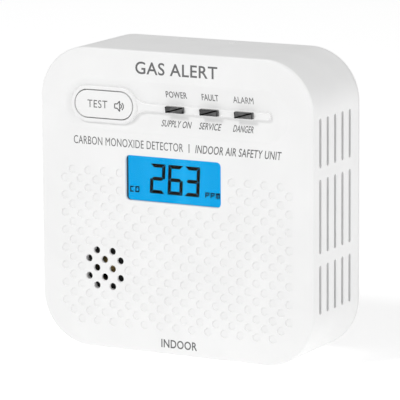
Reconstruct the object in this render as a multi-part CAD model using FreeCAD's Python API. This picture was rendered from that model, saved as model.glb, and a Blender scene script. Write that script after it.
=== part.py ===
import FreeCAD, Part
import math
import os

# A battery carbon monoxide detector: a square casing with round corners that twists onto a wall
# bracket. Millimetres, +Z up, +X to the right seen from the front, +Y towards the wall. The origin
# is at the bottom centre of the whole object. A "depth" is measured from the flat front face.

# casing
body_width = 100.0
body_height = 100.0
body_depth = 34.5
corner_radius = 17.5
wall = 2.0
front_edge_round = 0.9
rear_edge_round = 0.5
rear_flange = 1.25
seam_gap = 0.15
lip_gap = 0.15
lip_wall = 1.5
lip_length = 4.0
rear_plate = 2.5

# dished control panel across the top of the front
dish_length = 81.6
dish_height = 16.85
dish_depth = 1.8
dish_from_top = 18.7
dish_wall = 2.0
dish_pad_margin = 2.0

# test button, its collar and the ridge that carries the indicator lights
button_length = 21.3
button_height = 8.95
button_x = -26.3
button_gap = 0.3
button_proud = 0.1
button_edge_round = 0.35
button_travel = 0.5
button_flange = 0.9
button_flange_margin = 1.0
button_skin = 1.6
collar_width = 1.2
collar_edge_round = 0.45
ridge_height = 2.35
ridge_sink = 0.75
ridge_end_x = 34.4
ridge_neck_radius = 6.0
ridge_edge_round = 0.3
ridge_root = 3.0

# indicator lights
indicator_xs = {"power": -0.1, "fault": 12.45, "alarm": 25.0}
pipe_width = 6.5
pipe_height = 2.1
pipe_proud = 0.25
pipe_gap = 0.05
pipe_edge_round = 0.2
pipe_flange = 1.0
pipe_flange_margin = 0.8
led_width = 3.5
led_height = 2.8
led_thickness = 1.9
led_air_gap = 0.6

# display
window_width = 34.5
window_height = 14.9
window_radius = 1.5
window_from_top = 42.15
lens_seat = 1.1
lens_thickness = 0.8
lens_margin = 2.0
gasket_thickness = 0.3
gasket_overlap = 0.5
polarizer_thickness = 0.2
glass_side_margin = 2.75
front_glass_margin = 3.5
rear_glass_margin = 1.2
glass_thickness = 0.7
guide_thickness = 2.6
guide_margin = 1.0
zebra_thickness = 1.8
lcd_frame_wall = 1.6
lcd_frame_gap = 0.2
backlight_led_size = 1.4

# perforated and dimpled lower front
lattice_step = 2.944
lattice_z = 32.65
dimple_radius = 1.375
dimple_depth = 0.35
dimple_edge_margin = 8.0
dimple_window_margin = 1.9
dimple_top_z = 60.05
grille_x = -26.5
grille_z = 26.75
grille_radius = 7.0
grille_hole_radius = 1.2

# side vents
vent_width = 1.6
vent_pitch = 5.45
vent_columns = 5
vent_first_depth = 5.0
vent_middle_length = 24.2
vent_outer_length = 16.0
vent_outer_offset = 23.85
vent_drop = 0.45

# screws and their bosses
case_screw_radius = 1.5
case_screw_length = 15.0
case_head_radius = 2.7
case_head_height = 1.7
case_boss_radius = 3.5
case_pillar_radius = 4.2
case_pillar_length = 4.0
case_seat_sink = 3.0
board_screw_radius = 1.1
board_screw_length = 6.0
board_head_radius = 2.2
board_head_height = 1.4
screw_head_round = 0.4
screw_tip_room = 1.0
post_radius = 3.0
screw_gap = 0.05
recess_width = 0.7
recess_depth = 0.8

# circuit board
board_depth = 10.5
board_thickness = 1.6
board_wall_gap = 4.0
board_corner_inset = 5.5
board_boss_gap = 0.7

# test switch
switch_size = 6.0
switch_height = 3.5
plunger_radius = 1.75
plunger_rise = 1.0
plunger_length = 2.4
plunger_gap = 0.06
stem_radius = 1.6
stem_gap = 0.05

# sounder
sounder_radius = 14.5
sounder_wall = 1.3
sounder_face = 1.2
sounder_port_radius = 4.5
sounder_step = 1.8
sounder_disc_radius = 12.6
sounder_disc_thickness = 0.4
sounder_seal_thickness = 0.6
sounder_seal_width = 3.2
sounder_pin_radius = 0.6
sounder_pin_offset = 6.0

# gas sensor
sensor_x = 20.0
sensor_z = 22.0
sensor_radius = 9.0
sensor_base_margin = 0.5
sensor_base_thickness = 1.5
sensor_can_height = 9.0
sensor_cap_radius = 6.8
sensor_cap_height = 1.5
sensor_hole_radius = 0.6
sensor_hole_ring = 3.6
sensor_can_round = 0.8

# parts on the back of the board
chip_x = -8.0
chip_drop = 1.5
chip_size = 10.0
chip_height = 1.5
chip_standoff = 0.1
chip_leads = 8
chip_lead_pitch = 1.0
chip_lead_width = 0.4
chip_lead_rise = 0.5
chip_lead_reach = 1.2
capacitor_xs = [20.0, 28.5]
capacitor_drop = 4.0
capacitor_radius = 3.15
capacitor_height = 11.0
capacitor_edge_round = 0.5
coil_x = -24.0
coil_drop = 3.0
coil_cheek_radius = 4.2
coil_winding_radius = 3.4
coil_cheek = 1.2
coil_height = 5.2
crystal_x = 8.0
crystal_rise = 6.0
crystal_length = 10.5
crystal_height = 4.4
crystal_thickness = 3.4
resistor_x = -36.0
resistor_rise = 6.5
resistor_rows = 2
resistor_columns = 5
resistor_pitch = 3.4
resistor_row_pitch = 3.0
resistor_length = 2.0
resistor_width = 1.25
resistor_thickness = 0.6
transistor_x = -37.0
transistor_offset = 8.0
transistor_radius = 2.3
transistor_flat = 1.4
transistor_standoff = 2.5
transistor_length = 4.5
transistor_leg = 0.45
transistor_leg_pitch = 1.27
transistor_leg_root = 0.1

# battery bay and cells
cell_radius = 7.2
cell_length = 49.5
cell_edge_round = 0.6
cell_nub_radius = 2.75
cell_nub_length = 1.0
cell_pitch = 15.5
cell_gap = 0.3
bay_wall = 1.5
contact_thickness = 0.4
contact_size = 11.0
contact_tail_width = 4.0
spring_length = 4.0
spring_base_radius = 4.6
spring_tip_radius = 2.9
spring_wire = 0.7

# wall bracket and its bayonet
bracket_radius = 40.0
bracket_plate = 2.0
bracket_rim_height = 3.0
bracket_rim_width = 3.0
bracket_gap = 0.5
bracket_face_gap = 0.4
bracket_floor = 2.0
bracket_twist = 15.0
tab_reach = 1.8
tab_thickness = 1.5
tab_angle = 12.0
tab_play = 2.0
tab_face_gap = 0.3
groove_wall = 1.5
tab_centres = [45.0, 135.0, 225.0, 315.0]
wall_screw_spacing = 60.0
wall_screw_radius = 2.25
screw_head_room = 6.0
screw_pocket_angle = 27.0
screw_pocket_sink = 3.2
screw_pocket_wall = 1.6
bracket_window_width = 40.0
bracket_window_height = 24.0
bracket_window_radius = 4.0
arc_slot_width = 4.6
arc_slot_radius = 30.0
arc_slot_angle = 24.0

# label on the rear cover
label_width = 36.0
label_height = 4.6
label_radius = 0.8
label_thickness = 0.1
label_offset = 20.6

# worked out from the sizes above
front_y = (pipe_proud - body_depth) / 2
middle_z = body_height / 2
dish_z = body_height - dish_from_top
window_z = body_height - window_from_top
dish_back = dish_depth + dish_wall
skirt_end = body_depth - rear_flange - seam_gap
recess_floor = body_depth - bracket_rim_height - bracket_face_gap
recess_radius = bracket_radius + bracket_gap
groove_radius = bracket_radius + tab_reach + bracket_gap
board_back = board_depth + board_thickness
screw_pocket_inner = wall_screw_spacing / 2 - screw_head_room
screw_pocket_outer = wall_screw_spacing / 2 + screw_head_room
glass_width = window_width + 2 * glass_side_margin
front_glass_height = window_height + 2 * front_glass_margin
rear_glass_height = window_height + 2 * rear_glass_margin
lens_depth = wall - lens_seat
lens_back = lens_depth + lens_thickness
polarizer_front = lens_back + gasket_thickness
glass_front = polarizer_front + polarizer_thickness
guide_front = glass_front + 2 * glass_thickness
cell_depth = recess_floor - cell_radius - cell_gap
bay_floor = cell_depth - cell_radius - cell_gap
bay_length = cell_length + cell_nub_length + spring_length + 2 * contact_thickness
bay_height = cell_pitch + 2 * (cell_radius + cell_gap)
collar_length = button_length + 2 * (button_gap + collar_width)
collar_height = button_height + 2 * (button_gap + collar_width)
corner_shift = (corner_radius - wall - case_boss_radius + 0.5) / math.sqrt(2)
case_screw_x = body_width / 2 - corner_radius + corner_shift
case_screw_rise = body_height / 2 - corner_radius + corner_shift
post_places = [(-36.0, window_z + 4.5), (36.0, window_z + 4.5), (-8.0, 12.0), (35.5, 15.5)]


def at(depth):
    """Y of a plane this far behind the front face."""
    return front_y + depth


def point(x, depth, z):
    return FreeCAD.Vector(x, at(depth), z)


def arc(x, z, radius, start, end):
    """A circle arc in the front plane's direction, from start to end degrees, at depth 0."""
    ends = []
    for angle in (start, (start + end) / 2, end):
        turn = math.radians(angle)
        ends.append(point(x + radius * math.cos(turn), 0, z + radius * math.sin(turn)))
    return Part.Arc(*ends).toShape()


def outline(arcs):
    """A closed wire: the arcs in order, with straight lines between their ends."""
    edges = []
    for index, curve in enumerate(arcs):
        following = arcs[(index + 1) % len(arcs)]
        edges.append(curve)
        here = curve.valueAt(curve.LastParameter)
        there = following.valueAt(following.FirstParameter)
        if here.distanceToPoint(there) > 1e-6:
            edges.append(Part.makeLine(here, there))
    return Part.Wire(edges)


def raised(wire, near, far):
    """The solid inside a wire at depth 0, from depth near to depth far."""
    solid = Part.Face(wire).extrude(FreeCAD.Vector(0, far - near, 0))
    solid.translate(FreeCAD.Vector(0, near, 0))
    return solid


def rounded(width, height, radius, near, far, x=0.0, z=middle_z):
    """A block with round corners seen from the front; radius = height / 2 makes a pill."""
    right = x + width / 2 - radius
    left = x - width / 2 + radius
    high = z + height / 2 - radius
    low = z - height / 2 + radius
    corners = [
        arc(right, high, radius, 0, 90),
        arc(left, high, radius, 90, 180),
        arc(left, low, radius, 180, 270),
        arc(right, low, radius, 270, 360),
    ]
    return raised(outline(corners), near, far)


def pill(length, height, near, far, x, z):
    return rounded(length, height, height / 2, near, far, x, z)


def disc(radius, near, far, x=0.0, z=middle_z):
    return Part.makeCylinder(radius, far - near, point(x, near, z), FreeCAD.Vector(0, 1, 0))


def ring(outer, inner, near, far, x=0.0, z=middle_z):
    return disc(outer, near, far, x, z).cut(disc(inner, near - 1, far + 1, x, z))


def block(width, height, near, far, x=0.0, z=middle_z):
    return Part.makeBox(width, far - near, height, point(x - width / 2, near, z - height / 2))


def ring_sector(inner, outer, start, end, near, far):
    """Part of a ring about the body's middle, from start to end degrees."""
    arcs = [arc(0, middle_z, outer, start, end), arc(0, middle_z, inner, end, start)]
    return raised(outline(arcs), near, far)


def joined(shapes):
    solid = shapes[0]
    for shape in shapes[1:]:
        solid = solid.fuse(shape)
    return solid.removeSplitter()


def group(shapes):
    return Part.makeCompound(shapes)


def edges_at(shape, depth):
    """The edges that lie wholly in the plane at this depth."""
    found = []
    for edge in shape.Edges:
        box = edge.BoundBox
        if abs(box.YMin - at(depth)) < 1e-4 and abs(box.YMax - at(depth)) < 1e-4:
            found.append(edge)
    return found


def round_front(shape, depth, radius):
    return shape.makeFillet(radius, edges_at(shape, depth))


def case_screw_places():
    places = []
    for x in (-case_screw_x, case_screw_x):
        for z in (middle_z - case_screw_rise, middle_z + case_screw_rise):
            places.append((x, z))
    return places


def lattice_points():
    """Centres of the diagonal lattice that covers the lower front, away from edges and window."""
    points = []
    reach = int(max(body_width, body_height) / lattice_step)
    for column in range(-reach, reach + 1):
        for row in range(-reach, reach + 1):
            x = column * lattice_step
            z = lattice_z + row * lattice_step
            if (column + row) % 2 == 0 and on_dimpled_field(x, z):
                points.append((x, z))
    return points


def on_dimpled_field(x, z):
    beyond_x = max(abs(x) - (body_width / 2 - corner_radius), 0)
    beyond_z = max(abs(z - middle_z) - (body_height / 2 - corner_radius), 0)
    edge_distance = corner_radius - math.hypot(beyond_x, beyond_z)
    beside_window = abs(x) > window_width / 2 + dimple_window_margin
    below_window = z < window_z - window_height / 2 - dimple_window_margin
    return edge_distance > dimple_edge_margin and z < dimple_top_z and (beside_window or below_window)


def in_grille(x, z):
    return math.hypot(x - grille_x, z - grille_z) < grille_radius


def dish_cutter():
    """A shallow trough with ball ends, whose rim on the flat face is a pill."""
    half = dish_height / 2
    radius = (half ** 2 + dish_depth ** 2) / (2 * dish_depth)
    straight = dish_length - dish_height
    start = point(-straight / 2, dish_depth - radius, dish_z)
    trough = Part.makeCylinder(radius, straight, start, FreeCAD.Vector(1, 0, 0))
    shapes = [trough]
    for x in (-straight / 2, straight / 2):
        shapes.append(Part.makeSphere(radius, point(x, dish_depth - radius, dish_z)))
    return joined(shapes)


def ridge():
    """The raised keyhole shape: a pill around the button that narrows to a bar for the lights."""
    cap = collar_height / 2
    bar = ridge_height / 2
    neck = ridge_neck_radius
    left = button_x - collar_length / 2 + cap
    right = button_x + collar_length / 2 - cap
    neck_x = right + math.sqrt((cap + neck) ** 2 - (bar + neck) ** 2)
    lean = math.degrees(math.atan2(bar + neck, neck_x - right))
    arcs = [
        arc(ridge_end_x - bar, dish_z, bar, -90, 90),
        arc(neck_x, dish_z + bar + neck, neck, 270, 180 + lean),
        arc(right, dish_z, cap, lean, 90),
        arc(left, dish_z, cap, 90, 270),
        arc(right, dish_z, cap, 270, 360 - lean),
        arc(neck_x, dish_z - bar - neck, neck, 180 - lean, 90),
    ]
    return round_front(raised(outline(arcs), ridge_sink, ridge_root), ridge_sink, ridge_edge_round)


def collar():
    solid = pill(collar_length, collar_height, 0, ridge_root, button_x, dish_z)
    return round_front(solid, 0, collar_edge_round)


def dimple_cutter(x, z):
    return disc(dimple_radius, -1, dimple_depth, x, z)


def side_vents():
    """Every vent slot, as bars with round ends that run through both side walls."""
    slots = []
    lengths = [vent_middle_length, vent_outer_length, vent_outer_length]
    vents_z = middle_z - vent_drop
    centres = [vents_z, vents_z - vent_outer_offset, vents_z + vent_outer_offset]
    half = vent_width / 2
    for column in range(vent_columns):
        depth = vent_first_depth + column * vent_pitch
        for length, z in zip(lengths, centres):
            for side in (-1, 1):
                x = side * (body_width / 2 - wall / 2) - wall
                straight = length - vent_width
                slot = Part.makeBox(2 * wall, vent_width, straight, point(x, depth - half, z - straight / 2))
                for end in (-straight / 2, straight / 2):
                    start = point(x, depth, z + end)
                    slot = slot.fuse(Part.makeCylinder(half, 2 * wall, start, FreeCAD.Vector(1, 0, 0)))
                slots.append(slot)
    return slots


def front_cover():
    shell = rounded(body_width, body_height, corner_radius, 0, skirt_end)
    shell = round_front(shell, 0, front_edge_round)
    hollow = rounded(body_width - 2 * wall, body_height - 2 * wall, corner_radius - wall, wall, body_depth)
    shell = shell.cut(hollow)
    pad_length = dish_length + 2 * dish_pad_margin
    pad_height = dish_height + 2 * dish_pad_margin
    shell = shell.fuse(pill(pad_length, pad_height, wall / 2, dish_back, 0, dish_z))
    shell = shell.cut(dish_cutter())
    added = [ridge(), collar()]
    pillar_front = recess_pillar_front()
    for x, z in case_screw_places():
        added.append(disc(case_boss_radius, wall / 2, pillar_front, x, z))
    for x, z in post_places:
        added.append(disc(post_radius, wall / 2, board_depth, x, z))
    shell = shell.fuse(added)
    opening_length = button_length + 2 * button_gap
    opening_height = button_height + 2 * button_gap
    cuts = [pill(opening_length, opening_height, -1, dish_back + 1, button_x, dish_z)]
    slot_width = pipe_width + 2 * pipe_gap
    slot_height = pipe_height + 2 * pipe_gap
    for x in indicator_xs.values():
        cuts.append(block(slot_width, slot_height, -1, dish_back + 1, x, dish_z))
    cuts.append(rounded(window_width, window_height, window_radius, -1, wall + 1, 0, window_z))
    lens_width = window_width + 2 * lens_margin
    lens_height = window_height + 2 * lens_margin
    cuts.append(rounded(lens_width, lens_height, window_radius, lens_depth, wall + 1, 0, window_z))
    frame_width, frame_height = lcd_frame_size()
    cuts.append(block(frame_width + 2 * lcd_frame_gap, frame_height + 2 * lcd_frame_gap,
                      wall, dish_back + 1, 0, window_z))
    for x, z in case_screw_places():
        tip = pillar_front + case_pillar_length - case_screw_length
        cuts.append(disc(case_screw_radius + screw_gap, tip, body_depth, x, z))
    for x, z in post_places:
        cuts.append(disc(board_screw_radius + screw_gap, board_back - board_screw_length, board_back, x, z))
    cuts.extend(side_vents())
    for x, z in lattice_points():
        if in_grille(x, z):
            cuts.append(disc(grille_hole_radius, -1, wall + 1, x, z))
        else:
            cuts.append(dimple_cutter(x, z))
    return shell.cut(cuts)


def recess_pillar_front():
    """Depth where the front cover's bosses meet the rear cover's pillars."""
    return body_depth - case_seat_sink - case_pillar_length


def test_button():
    flange_length = button_length + 2 * button_flange_margin
    flange_height = button_height + 2 * button_flange_margin
    flange_front = dish_back + stem_gap
    flange_back = flange_front + button_flange
    cap = pill(button_length, button_height, -button_proud, flange_back, button_x, dish_z)
    cap = round_front(cap, -button_proud, button_edge_round)
    cap = cap.fuse(pill(flange_length, flange_height, flange_front, flange_back, button_x, dish_z))
    inner_length = button_length - 2 * button_skin
    inner_height = button_height - 2 * button_skin
    cap = cap.cut(pill(inner_length, inner_height, button_skin, flange_back + 1, button_x, dish_z))
    stem_tip = board_depth - switch_height - plunger_rise - stem_gap
    return joined([cap, disc(stem_radius, button_skin / 2, stem_tip, button_x, dish_z)])


def switch_body():
    front = board_depth - switch_height
    body = block(switch_size, switch_size, front, board_depth, button_x, dish_z)
    bore_end = front - plunger_rise + plunger_length + button_travel + 0.2
    return body.cut(disc(plunger_radius + plunger_gap, front - 1, bore_end, button_x, dish_z))


def switch_plunger():
    front = board_depth - switch_height - plunger_rise
    return disc(plunger_radius, front, front + plunger_length, button_x, dish_z)


def light_pipe(x):
    led_front = board_depth - led_thickness
    pipe = block(pipe_width, pipe_height, -pipe_proud, led_front - led_air_gap, x, dish_z)
    pipe = round_front(pipe, -pipe_proud, pipe_edge_round)
    flange_width = pipe_width + 2 * pipe_flange_margin
    flange_height = pipe_height + 2 * pipe_flange_margin
    return joined([pipe, block(flange_width, flange_height, dish_back, dish_back + pipe_flange, x, dish_z)])


def indicator_led(x):
    return block(led_width, led_height, board_depth - led_thickness, board_depth, x, dish_z)


def display_lens():
    lens_width = window_width + 2 * (lens_margin - lcd_frame_gap)
    lens_height = window_height + 2 * (lens_margin - lcd_frame_gap)
    return rounded(lens_width, lens_height, window_radius, lens_depth, lens_back, 0, window_z)


def display_gasket():
    """A dark foam frame between lens and glass, a little smaller inside than the window."""
    outer_width = window_width + 2 * (lens_margin - lcd_frame_gap)
    outer_height = window_height + 2 * (lens_margin - lcd_frame_gap)
    frame = rounded(outer_width, outer_height, window_radius, lens_back, polarizer_front, 0, window_z)
    inner_width = window_width - 2 * gasket_overlap
    inner_height = window_height - 2 * gasket_overlap
    return frame.cut(rounded(inner_width, inner_height, window_radius, 0, board_depth, 0, window_z))


def lcd_polarizer():
    width = window_width + 2 * guide_margin
    height = window_height + 2 * guide_margin
    return block(width, height, polarizer_front, glass_front, 0, window_z)


def lcd_front_glass():
    return block(glass_width, front_glass_height, glass_front, glass_front + glass_thickness, 0, window_z)


def lcd_rear_glass():
    return block(glass_width, rear_glass_height, glass_front + glass_thickness, guide_front, 0, window_z)


def backlight_guide():
    """A slab that spreads the backlight, with wedge-cut ends above the side lights."""
    width = glass_width - 2 * guide_margin
    height = rear_glass_height - 2 * guide_margin
    slab = block(width, height, guide_front, guide_front + guide_thickness, 0, window_z)
    return slab.makeChamfer(0.5, edges_at(slab, guide_front + guide_thickness))


def backlight_leds():
    back = guide_front + guide_thickness
    leds = []
    for x in (-glass_width / 4, glass_width / 4):
        leds.append(block(2 * backlight_led_size, backlight_led_size, back, board_depth, x, window_z))
    return group(leds)


def zebra_offset():
    """Distance of a contact strip from the display's middle, under the front glass's ledge."""
    return (front_glass_height + rear_glass_height) / 4


def zebra_strips():
    strips = []
    top = glass_front + glass_thickness
    for side in (-1, 1):
        z = window_z + side * zebra_offset()
        strips.append(block(glass_width - 2 * guide_margin, zebra_thickness, top, board_depth, 0, z))
    return group(strips)


def lcd_frame_size():
    width = glass_width + 2 * (lcd_frame_gap + lcd_frame_wall)
    height = front_glass_height + 2 * (lcd_frame_gap + lcd_frame_wall)
    return width, height


def lcd_frame():
    """The carrier that holds glass, light guide and contact strips on the board."""
    inner_width = glass_width + 2 * lcd_frame_gap
    inner_height = front_glass_height + 2 * lcd_frame_gap
    width, height = lcd_frame_size()
    top = wall
    shelf = guide_front + guide_thickness
    frame = rounded(width, height, 2 * lcd_frame_wall, top, board_depth, 0, window_z)
    frame = frame.cut(block(inner_width, inner_height, top - 1, shelf, 0, window_z))
    slot_width = glass_width - 2 * guide_margin + 2 * lcd_frame_gap
    for side in (-1, 1):
        z = window_z + side * zebra_offset()
        frame = frame.cut(block(slot_width, zebra_thickness + 2 * lcd_frame_gap, top, board_depth + 1, 0, z))
    lamp_width = glass_width / 2 + 2 * backlight_led_size + 2 * lcd_frame_gap
    lamp_height = backlight_led_size + 2 * lcd_frame_gap
    return frame.cut(block(lamp_width, lamp_height, top, board_depth + 1, 0, window_z))


def main_board():
    width = body_width - 2 * (wall + board_wall_gap)
    height = body_height - 2 * (wall + board_wall_gap)
    board = rounded(width, height, corner_radius - board_corner_inset, board_depth, board_back)
    cuts = []
    for x, z in case_screw_places():
        cuts.append(disc(case_boss_radius + board_boss_gap, board_depth - 1, board_back + 1, x, z))
    for x, z in post_places:
        cuts.append(disc(board_screw_radius + 2 * screw_gap, board_depth - 1, board_back + 1, x, z))
    return board.cut(cuts)


def sounder_front():
    return wall + sounder_seal_thickness


def sounder_shelf():
    return sounder_front() + sounder_face + sounder_step


def sounder_seal():
    inner = sounder_radius - sounder_seal_width
    return ring(sounder_radius, inner, wall, sounder_front(), grille_x, grille_z)


def sounder_housing():
    """A resonator cup with a port in its face and a shelf for the disc."""
    cup = disc(sounder_radius, sounder_front(), board_depth, grille_x, grille_z)
    bore = sounder_radius - sounder_wall
    cup = cup.cut(disc(bore, sounder_shelf(), board_depth + 1, grille_x, grille_z))
    chamber = sounder_disc_radius - 1.0
    cup = cup.cut(disc(chamber, sounder_front() + sounder_face, board_depth + 1, grille_x, grille_z))
    return cup.cut(disc(sounder_port_radius, 0, board_depth, grille_x, grille_z))


def sounder_disc():
    back = sounder_shelf() + sounder_disc_thickness
    return disc(sounder_disc_radius, sounder_shelf(), back, grille_x, grille_z)


def sounder_pins():
    pins = []
    for side in (-1, 1):
        x = grille_x + side * sounder_pin_offset
        near = sounder_shelf() + sounder_disc_thickness
        pins.append(disc(sounder_pin_radius, near, board_depth, x, grille_z))
    return group(pins)


def sensor_can_back():
    return board_back + sensor_base_thickness + sensor_can_height


def co_sensor_base():
    radius = sensor_radius + sensor_base_margin
    return disc(radius, board_back, board_back + sensor_base_thickness, sensor_x, sensor_z)


def co_sensor_can():
    can = disc(sensor_radius, board_back + sensor_base_thickness, sensor_can_back(), sensor_x, sensor_z)
    return can.makeFillet(sensor_can_round, edges_at(can, sensor_can_back()))


def co_sensor_cap():
    front = sensor_can_back()
    cap = disc(sensor_cap_radius, front, front + sensor_cap_height, sensor_x, sensor_z)
    holes = [disc(sensor_hole_radius, 0, body_depth, sensor_x, sensor_z)]
    for step in range(6):
        turn = math.radians(60 * step)
        x = sensor_x + sensor_hole_ring * math.cos(turn)
        z = sensor_z + sensor_hole_ring * math.sin(turn)
        holes.append(disc(sensor_hole_radius, 0, body_depth, x, z))
    return cap.cut(holes)


def microcontroller():
    """A flat chip with eight legs on each side."""
    x = chip_x
    z = dish_z - chip_drop
    front = board_back + chip_standoff
    shapes = [block(chip_size, chip_size, front, board_back + chip_height, x, z)]
    lead_back = board_back + chip_lead_rise
    lead_span = chip_size + 2 * chip_lead_reach
    for step in range(chip_leads):
        shift = (step - (chip_leads - 1) / 2) * chip_lead_pitch
        shapes.append(block(lead_span, chip_lead_width, board_back, lead_back, x, z + shift))
        shapes.append(block(chip_lead_width, lead_span, board_back, lead_back, x + shift, z))
    return joined(shapes)


def capacitors():
    cans = []
    back = board_back + capacitor_height
    for x in capacitor_xs:
        can = disc(capacitor_radius, board_back, back, x, dish_z - capacitor_drop)
        cans.append(can.makeFillet(capacitor_edge_round, edges_at(can, back)))
    return group(cans)


def boost_coil():
    """A drum core with its winding between two cheeks."""
    x = coil_x
    z = dish_z - coil_drop
    back = board_back + coil_height
    near_cheek = disc(coil_cheek_radius, board_back, board_back + coil_cheek, x, z)
    far_cheek = disc(coil_cheek_radius, back - coil_cheek, back, x, z)
    return joined([near_cheek, far_cheek, disc(coil_winding_radius, board_back, back, x, z)])


def crystal_can():
    back = board_back + crystal_thickness
    z = dish_z + crystal_rise
    return rounded(crystal_length, crystal_height, crystal_height / 2, board_back, back, crystal_x, z)


def chip_resistors():
    chips = []
    back = board_back + resistor_thickness
    for row in range(resistor_rows):
        z = dish_z + resistor_rise - resistor_row_pitch * row
        for column in range(resistor_columns):
            x = resistor_x + resistor_pitch * column
            chips.append(block(resistor_length, resistor_width, board_back, back, x, z))
    return group(chips)


def driver_transistors():
    """Two small D-shaped transistors, left of the battery bay."""
    bodies = []
    x = transistor_x
    near = board_back + transistor_standoff
    for z in (middle_z - transistor_offset, middle_z + transistor_offset):
        body = disc(transistor_radius, near, near + transistor_length, x, z)
        flat_x = x + transistor_flat + transistor_radius
        body = body.cut(block(2 * transistor_radius, 3 * transistor_radius, 0, body_depth, flat_x, z))
        legs = []
        for step in (-1, 0, 1):
            leg_z = z + step * transistor_leg_pitch
            root = near + transistor_leg_root
            legs.append(block(transistor_leg, transistor_leg, board_back, root, x, leg_z))
        bodies.append(joined([body] + legs))
    return group(bodies)


def cell(side):
    """One battery cell; side +1 is the upper cell with its nub to the right."""
    z = middle_z + side * cell_pitch / 2
    flat_end = -side * (bay_length / 2 - contact_thickness - spring_length)
    along = FreeCAD.Vector(side, 0, 0)
    can = Part.makeCylinder(cell_radius, cell_length, point(flat_end, cell_depth, z), along)
    can = can.makeFillet(cell_edge_round, can.Edges)
    nub_start = point(flat_end + side * (cell_length - 0.2), cell_depth, z)
    return joined([can, Part.makeCylinder(cell_nub_radius, cell_nub_length + 0.2, nub_start, along)])


def contact_plate(side, z, height):
    x = side * (bay_length - contact_thickness) / 2
    near = cell_depth - contact_size / 2
    return block(contact_thickness, height, near, near + contact_size, x, z)


def contact_with_tail(z):
    """An end plate at the left of the bay, with a tail through the bay floor to the board."""
    plate = contact_plate(-1, z, contact_size)
    x = -(bay_length - contact_thickness) / 2
    tail = block(contact_thickness, contact_tail_width, board_back, cell_depth, x, z)
    return joined([plate, tail])


def contact_bridge():
    return contact_plate(1, middle_z, cell_pitch + contact_size)


def battery_springs():
    """A hollow cone for each conical spring, one at the flat end of each cell."""
    cones = []
    for side in (-1, 1):
        z = middle_z - side * cell_pitch / 2
        start = point(side * (bay_length / 2 - contact_thickness), cell_depth, z)
        along = FreeCAD.Vector(-side, 0, 0)
        outer = Part.makeCone(spring_base_radius, spring_tip_radius, spring_length, start, along)
        inner_base = spring_base_radius - spring_wire
        inner_tip = spring_tip_radius - spring_wire
        cones.append(outer.cut(Part.makeCone(inner_base, inner_tip, spring_length, start, along)))
    return group(cones)


def bayonet_cuts():
    """Slots behind the rear lip for the bracket's tabs, each with an open way in."""
    cuts = []
    groove_far = recess_floor + bracket_face_gap + tab_thickness + tab_face_gap
    half = tab_angle / 2 + tab_play / 2
    inner = recess_radius - 0.5
    for centre in tab_centres:
        cuts.append(ring_sector(inner, groove_radius, centre - bracket_twist - half, centre + half,
                                recess_floor, groove_far))
        entry = centre - bracket_twist
        way_in = ring_sector(inner, groove_radius, entry - half, entry + half, recess_floor, body_depth + 1)
        cuts.append(way_in)
    return cuts


def screw_pocket(side, grow, near, far):
    """The hollow arc where the wall screws' heads sit, or with grow its outer walls."""
    centre = side * 90.0
    half = screw_pocket_angle + math.degrees(grow / screw_pocket_outer)
    inner = screw_pocket_inner - grow
    outer = screw_pocket_outer + grow
    return ring_sector(inner, outer, centre - half, centre + half, near, far)


def rear_cover():
    flange_front = body_depth - rear_flange
    plate = rounded(body_width, body_height, corner_radius, flange_front, body_depth)
    plate = plate.makeFillet(rear_edge_round, edges_at(plate, body_depth))
    inset = wall + lip_gap
    plate_front = body_depth - rear_plate
    inner_width = body_width - 2 * inset
    inner_height = body_height - 2 * inset
    lip_front = plate_front - lip_length
    lip = rounded(inner_width, inner_height, corner_radius - inset, lip_front, flange_front)
    hollow_inset = inset + lip_wall
    hollow_width = body_width - 2 * hollow_inset
    hollow_height = body_height - 2 * hollow_inset
    hollow_radius = corner_radius - hollow_inset
    hollow = rounded(hollow_width, hollow_height, hollow_radius, lip_front - 1, plate_front)
    floor_front = recess_floor - bracket_floor
    added = [lip.cut(hollow), disc(groove_radius + groove_wall, floor_front, body_depth - 0.2)]
    bay_outer_length = bay_length + 2 * bay_wall
    bay_outer_height = bay_height + 2 * bay_wall
    added.append(block(bay_outer_length, bay_outer_height, bay_floor - bay_wall, recess_floor))
    pocket_floor = recess_floor - screw_pocket_sink
    for side in (-1, 1):
        added.append(screw_pocket(side, screw_pocket_wall, pocket_floor - screw_pocket_wall, recess_floor))
    pillar_front = recess_pillar_front()
    pillar_back = plate_front + 0.5
    inside = rounded(inner_width, inner_height, corner_radius - inset, pillar_front, pillar_back)
    for x, z in case_screw_places():
        pillar = disc(case_pillar_radius, pillar_front, pillar_back, x, z)
        added.append(pillar.common(inside))
    cover = plate.fuse(added)
    cuts = [disc(recess_radius, recess_floor, body_depth + 1)]
    cuts.append(block(bay_length, bay_height, bay_floor, body_depth))
    for side in (-1, 1):
        cuts.append(screw_pocket(side, 0, pocket_floor, recess_floor + 1))
    cuts.extend(bayonet_cuts())
    tail_x = -(bay_length - contact_thickness) / 2
    for side in (-1, 1):
        z = middle_z + side * cell_pitch / 2
        cuts.append(block(contact_thickness, contact_tail_width, 0, bay_floor + 1, tail_x, z))
    for x, z in case_screw_places():
        cuts.append(disc(case_screw_radius + 2 * screw_gap, 0, body_depth + 1, x, z))
        head_room = case_head_radius + 4 * screw_gap
        cuts.append(disc(head_room, body_depth - case_seat_sink, body_depth + 1, x, z))
    return cover.cut(cuts)


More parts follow.
